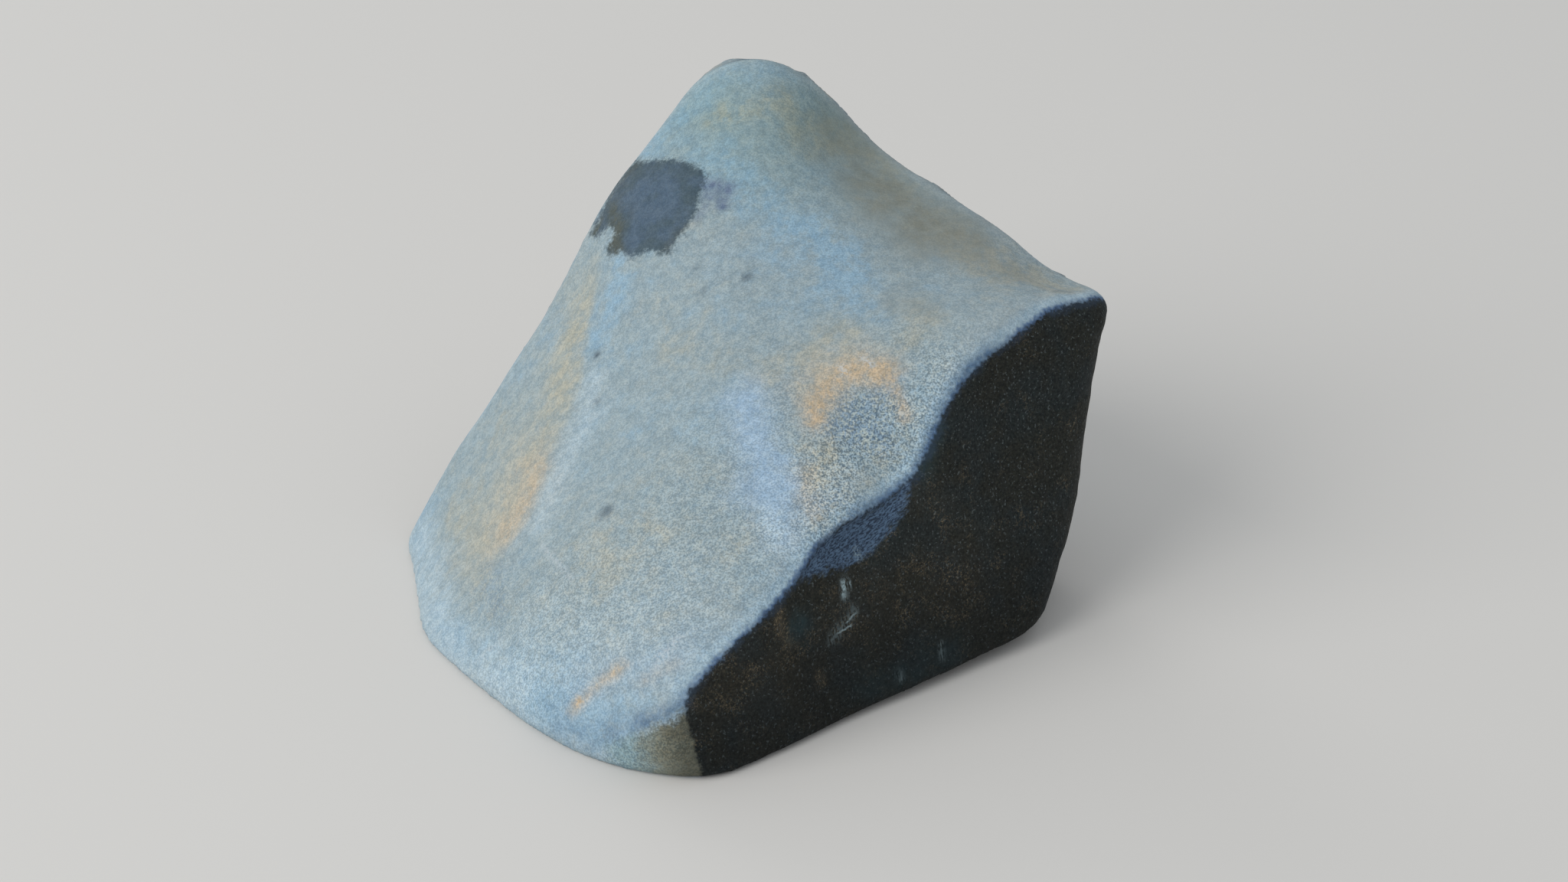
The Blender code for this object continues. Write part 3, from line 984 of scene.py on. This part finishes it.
# The dark face's rock: its bluish clouds, where it is brown and how much the brown marks add to
# that, the brown hairs and flecks, the grain and pale flecks, a brown wash in the brown marks,
# and the heights (mm) over which painted shade darkens it towards the ground
DARK_CLOUD_NOISE = (9.0, 3.0, 0.6)
DARK_CLOUD_RAMP = (0.42, 0.62)
BROWN_NOISE = (4.0, 3.0, 0.6)
BROWN_ADDED = 0.35
BROWN_RAMP = (0.50, 0.78, 0.05, 1.0)
HAIR_SWAY = (1.1, 0.5, 4.0)
HAIR_RAMP = (0.030, 0.006, 0.0, 0.5)
BROWN_FLECK_NOISE = (0.30, 1.0, 0.5)
BROWN_FLECK_RAMP = (0.58, 0.70, 0.0, 0.75)
DARK_GRAIN_NOISE = (0.35, 2.0, 0.6)
DARK_GRAIN_RAMP = (0.35, 0.65)
FLECK_NOISE = (0.36, 1.0)
FLECK_RAMP = (0.60, 0.76, 0.0, 0.38)
BROWN_WASH = 0.18
DARK_FOOT_SHADE_RAMP = (24.0, 4.0)


def dark_rock(n, place):
    """The dark face's rock: charcoal with bluish clouds, brown hairs and flecks, and grain."""
    base = n.mix(n.pattern(place, DARK_CLOUD_NOISE, DARK_CLOUD_RAMP), CHARCOAL, DARK_BLUE)
    brown = n.math("MULTIPLY_ADD", n.kept("brown"), BROWN_ADDED, n.noise(place, *BROWN_NOISE))
    brown = n.ramp(brown, *BROWN_RAMP)
    hairs = n.ramp(n.math("ABSOLUTE", n.sway(place, *HAIR_SWAY)), *HAIR_RAMP)
    base = n.mix(n.math("MULTIPLY", brown, hairs), base, DARK_BROWN)
    flecks = n.pattern(place, BROWN_FLECK_NOISE, BROWN_FLECK_RAMP)
    base = n.mix(n.math("MULTIPLY", brown, flecks), base, DARK_BROWN)
    grain = n.pattern(place, DARK_GRAIN_NOISE, DARK_GRAIN_RAMP)
    base = n.mix(1.0, base, n.mix(grain, DARK_GRAIN_DARK, DARK_GRAIN_LIGHT), "MULTIPLY")
    base = n.mix(n.pattern(place, FLECK_NOISE, FLECK_RAMP), base, FLECK)
    base = n.mix(n.math("MULTIPLY", n.kept("brown"), BROWN_WASH), base, DARK_BROWN)
    base = n.mix(n.broken("teal", place), base, DARK_TEAL)
    # Painted shade, darker towards the ground
    return n.mix(n.ramp(n.kept("height"), *DARK_FOOT_SHADE_RAMP), base, DARK_FOOT_SHADE, "MULTIPLY")


# The dark face's bluish edge, painted half light where the ridge rounds over from light into
# shade, and how far from the olive facet (mm) it sets in
DARK_EDGE_SWAYS = [(0.5, 0.9), (7.0, 2.0)]
DARK_EDGE_RAMP = (1.3, 0.1, 0.0, 0.6)
OFF_FOOT_RAMP = (0.0, 1.5)


def dark_edge_half_light(n, place, base):
    """The bluish edge of the dark face under the ridge: painted half light."""
    edge = n.ramp(n.wandering(n.kept("dark"), place, DARK_EDGE_SWAYS), *DARK_EDGE_RAMP)
    off_foot = n.ramp(n.kept("olive"), *OFF_FOOT_RAMP)
    return n.mix(n.math("MULTIPLY", edge, off_foot), base, DARK_EDGE_HALF_LIGHT)


# The navy chip, a navy mark lighter than the dark face partly as painted grazing light: the
# direction along it and how far noise is squeezed that way, its mottles and its edge
CHIP_ALONG = (0.743, 0.568, 0.355)
CHIP_DRAWN = 0.35
CHIP_NOISE = (0.22, 3.0, 0.7)
CHIP_MOTTLE_RAMP = (0.40, 0.60)
CHIP_EDGE_SWAYS = [(0.6, 1.8)]
CHIP_EDGE_RAMP = (0.6, -0.8, 0.0, 0.95)


def navy_chip(n, place, base):
    """The navy chip, partly painted grazing light, mottled along its length."""
    along = n.drawn(place, CHIP_ALONG, CHIP_DRAWN)
    navy = n.mix(n.pattern(along, CHIP_NOISE, CHIP_MOTTLE_RAMP), NAVY_DEEP, NAVY_AND_GRAZING_LIGHT)
    edge = n.wandering(n.kept("navy"), along, CHIP_EDGE_SWAYS)
    return n.mix(n.ramp(edge, *CHIP_EDGE_RAMP), base, navy)


# The scuffs, drawn out upright, and the thin scratches: how each one wanders, the share of
# its half width that is fully pale, its ends, and how it is broken up
UPRIGHT = (0.0, 0.0, 1.0)
SCUFF_DRAWN = 0.2
SCUFF_NOISE = (0.30, 2.0)
SCUFF_RAMP = (0.40, 0.56)
SCRATCH_SWAYS = [(1.2, 0.22)]
SCRATCH_CORE = 0.4
SCRATCH_END_SWAYS = [(0.8, 1.0)]
SCRATCH_END_RAMP = (0.3, -0.8)
SCRATCH_NOISE = (0.4, 2.0)
SCRATCH_RAMP = (0.35, 0.60, 0.2, 1.0)


def scuff_share(n, place):
    """How far a place lies in one of the scuffs on the dark face."""
    streaks = n.pattern(n.drawn(place, UPRIGHT, SCUFF_DRAWN), SCUFF_NOISE, SCUFF_RAMP)
    return n.math("MULTIPLY", n.kept("scuffs"), streaks)


def scratch_share(n, place):
    """How far a place lies in one of the thin scratches on the dark face."""
    share = 0.0
    for number, (_, _, half_width, strength) in enumerate(SCRATCHES):
        aside = n.wandering(n.kept(f"across {number}"), place, SCRATCH_SWAYS)
        core = SCRATCH_CORE * half_width
        line = n.ramp(n.math("ABSOLUTE", aside), half_width, core, 0.0, strength)
        past = n.wandering(n.kept(f"past {number}"), place, SCRATCH_END_SWAYS)
        line = n.math("MULTIPLY", line, n.ramp(past, *SCRATCH_END_RAMP))
        share = n.math("MAXIMUM", share, line)
    return n.math("MULTIPLY", share, n.pattern(place, SCRATCH_NOISE, SCRATCH_RAMP))


def dark_colour(n, place):
    """The dark face: its rock, bluish edge of painted half light, navy chip partly of painted
    grazing light, scuffs and scratches.
    """
    base = dark_edge_half_light(n, place, dark_rock(n, place))
    base = navy_chip(n, place, base)
    base = n.mix(scuff_share(n, place), base, SCRATCH)
    return n.mix(scratch_share(n, place), base, SCRATCH)


# The border between skin and dark face, in mm into the dark face: how it wanders, more so on the
# hidden back, and how grainy it is; the blue rim of painted highlight and the uneven navy rim of
# painted shade along it; where the dark face sets in; and how the pale hairlines on the skin are
# broken up
BORDER_SWAYS = [(1.6, 0.35)]
BACK_BORDER_SWAYS = [(9.0, 3.0), (2.0, 1.2)]
BORDER_GRAIN_SWAYS = [(0.5, 0.6, 1.0)]
RIM_HIGHLIGHT_RAMP = (-2.8, -1.0, 0.0, 0.75)
RIM_SHADE_RAMP = (-0.8, 0.0, 0.0, 0.95)
RIM_NOISE = (5.0, 2.0)
RIM_UNEVEN_RAMP = (0.38, 0.62, 0.55, 1.0)
DARK_FACE_RAMP = (-0.2, 0.45)
HAIRLINE_NOISE = (0.4, 2.0)
HAIRLINE_RAMP = (0.40, 0.58)


def rock_colour(n, place):
    """The whole stone's colour: the skin, turning blue with a painted highlight and then navy
    with painted shade over the ridge.
    """
    dark = n.wandering(n.kept("dark"), place, BORDER_SWAYS)
    ragged = n.wandering(0.0, place, BACK_BORDER_SWAYS)
    dark = n.math("ADD", dark, n.math("MULTIPLY", n.kept("hidden"), ragged))
    grainy = n.wandering(dark, place, BORDER_GRAIN_SWAYS)
    foot = foot_share(n, place)
    rimmed = n.math("SUBTRACT", 1.0, n.math("MAXIMUM", foot, n.kept("hidden")))
    skin = back_colour(n, place, skin_colour(n, place))
    skin = patch_colour(n, place, skin)
    # Painted highlight along the skin's lip at the ridge
    rim = n.math("MULTIPLY", n.ramp(dark, *RIM_HIGHLIGHT_RAMP), rimmed)
    skin = n.mix(rim, skin, RIM_HIGHLIGHT_BLUE)
    # Painted shade where the skin rounds over into the dark face
    rim = n.math("MULTIPLY", n.ramp(grainy, *RIM_SHADE_RAMP), rimmed)
    rim = n.math("MULTIPLY", rim, n.pattern(place, RIM_NOISE, RIM_UNEVEN_RAMP))
    skin = n.mix(rim, skin, RIM_SHADE_NAVY)
    # Painted shade along the crests of the ridge and the olive facet
    skin = n.mix(n.broken("crest", place), skin, CREST_SHADE)
    # The olive facet's painted shade and bounced light
    skin = n.mix(foot, skin, foot_shade_colour(n, place))
    skin = grained(n, place, skin)
    hairlines = n.pattern(place, HAIRLINE_NOISE, HAIRLINE_RAMP)
    skin = n.mix(n.math("MULTIPLY", n.kept("hairlines"), hairlines), skin, HAIRLINE)
    return n.mix(n.ramp(grainy, *DARK_FACE_RAMP), skin, dark_colour(n, place))


# How rough and how shiny the rock is, and the finest relief of its surface: its noises, its
# strength and its height (mm)
ROUGH_NOISE = (0.8, 2.0)
ROUGH_RAMP = (0.3, 0.7, 0.72, 0.90)
ROCK_SHINE = 0.25
FINE_BUMP_NOISE = (0.28, 2.0, 0.6)
COARSE_BUMP_NOISE = (0.8, 2.0, 0.5)
BUMP_STRENGTH = 0.7
BUMP_HEIGHT = 0.06


def rock():
    """The stone's material."""
    n = Nodes("weathered blue-grey rock")
    place = n.place()
    n.link(rock_colour(n, place), n.shader.inputs["Base Color"])
    n.link(n.pattern(place, ROUGH_NOISE, ROUGH_RAMP), n.shader.inputs["Roughness"])
    n.link(ROCK_SHINE, n.shader.inputs["Specular IOR Level"])
    relief = n.math("ADD", n.noise(place, *FINE_BUMP_NOISE), n.noise(place, *COARSE_BUMP_NOISE))
    bump = n.tree.nodes.new("ShaderNodeBump")
    n.link(BUMP_STRENGTH, bump.inputs["Strength"])
    n.link(BUMP_HEIGHT * MM, bump.inputs["Distance"])
    n.link(relief, bump.inputs["Height"])
    n.link(bump.outputs["Normal"], n.shader.inputs["Normal"])
    return n.material


def find_fields(points, normals, edges, finder):
    """Every number that the material reads, by name."""
    fields = {
        "dark": to_dark(points, edges, finder),
        "hidden": np.clip(normals[:, 1] * BACK_COLOUR_GAIN, 0, 1),
        "height": points[:, 2],
        "hollow": hollowness(points, normals, edges),
        "scars": scars(points),
        "patch": to_outline(points, normals, PATCH),
        "navy": to_outline(points, normals, NAVY_CHIP),
        "olive": to_outline(points, normals, OLIVE_FOOT),
        "facet": to_outline(points, normals, LEFT_FACET),
    }
    marks = {"tan": TAN_MARKS, "blue": BLUE_MARKS, "streak": STREAK_MARKS, "pale": PALE_AND_HIGHLIGHT_MARKS,
             "beige": BEIGE_MARKS, "rust": RUST_MARKS, "slate": SLATE_MARKS,
             "spots": SPOT_MARKS, "flank": FLANK_STAIN_AND_SHADE_MARKS, "ochre": OCHRE_MARKS,
             "tail": TAIL_MARKS, "crest": CREST_SHADE_MARKS, "brown": BROWN_MARKS,
             "teal": TEAL_MARKS, "scuffs": SCUFF_MARKS, "hairlines": HAIRLINE_MARKS,
             "grain": GRAIN_MARKS}
    for name, lines in marks.items():
        fields[name] = strokes(points, finder, lines)
    for number, (start, end, *_) in enumerate(SCRATCHES):
        across, past = to_scratch(points, normals, start, end)
        fields[f"across {number}"] = across
        fields[f"past {number}"] = past
    return fields


def make_stone(frame):
    """The stone with its relief, its marks and its material."""
    stone = remade(frame["nodes"]["stone"])
    mesh = stone.data
    edges = read_edges(mesh)
    points = smoothed(read_vectors(mesh.vertices, "co") / MM, edges)
    write_points(mesh, points)
    finder = Finder(points, [tuple(face.vertices) for face in mesh.polygons])
    normals = read_vectors(mesh.vertex_normals, "vector")
    fields = find_fields(points, normals, edges, finder)
    for name, values in fields.items():
        keep(mesh, name, values)
    write_points(mesh, relieved(points, normals, fields, finder))
    mesh.polygons.foreach_set("use_smooth", [True] * len(mesh.polygons))
    mesh.materials.clear()
    mesh.materials.append(rock())
    return stone


def make_floor():
    """A plain pale floor."""
    bm = bmesh.new()
    bmesh.ops.create_grid(bm, x_segments=1, y_segments=1, size=FLOOR_SIZE / 2)
    mesh = bpy.data.meshes.new("floor")
    bm.to_mesh(mesh)
    bm.free()
    floor = added("floor", mesh)
    n = Nodes("plain pale floor")
    n.link(FLOOR_COLOUR, n.shader.inputs["Base Color"])
    n.link(FLOOR_ROUGHNESS, n.shader.inputs["Roughness"])
    n.link(FLOOR_SHINE, n.shader.inputs["Specular IOR Level"])
    mesh.materials.append(n.material)


def make_camera():
    """The photograph's camera."""
    data = bpy.data.cameras.new("camera")
    data.sensor_width = SENSOR
    data.lens = FOCAL / PHOTO_SIZE[0] * SENSOR
    data.clip_start = SEES_FROM
    data.clip_end = SEES_TO
    camera = added("camera", data)
    camera.location = Vector(CAMERA_PLACE) * MM
    camera.rotation_euler = (math.radians(90 - CAMERA_DOWN), 0, 0)
    bpy.context.scene.camera = camera


def make_lamp(name, direction, distance, size, power, lamp_colour):
    """A large soft lamp that shines at the stone from one direction."""
    data = bpy.data.lights.new(name, "AREA")
    data.shape = "DISK"
    data.size = size
    data.energy = power
    data.color = lamp_colour
    lamp = added(name, data)
    towards = Vector(direction).normalized()
    lamp.location = towards * distance
    lamp.rotation_euler = towards.to_track_quat("Z", "Y").to_euler()


def make_light():
    """A large soft light from the left front, a weak one from behind, and an even sky."""
    make_lamp("key", KEY_FROM, KEY_DISTANCE, KEY_SIZE, KEY_POWER, KEY_COLOUR)
    make_lamp("back", BACK_FROM, BACK_DISTANCE, BACK_SIZE, BACK_POWER, KEY_COLOUR)
    world = bpy.data.worlds.new("sky")
    world.use_nodes = True
    sky = world.node_tree.nodes["Background"]
    sky.inputs["Color"].default_value = (*SKY_COLOUR, 1.0)
    sky.inputs["Strength"].default_value = SKY_STRENGTH
    bpy.context.scene.world = world


def main():
    """The whole scene, from the model file that gives its sizes."""
    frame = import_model()
    make_camera()
    make_light()
    make_floor()
    stone = make_stone(frame)
    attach(stone, "root")
    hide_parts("stone")
    bpy.context.scene.view_settings.view_transform = "Standard"


main()
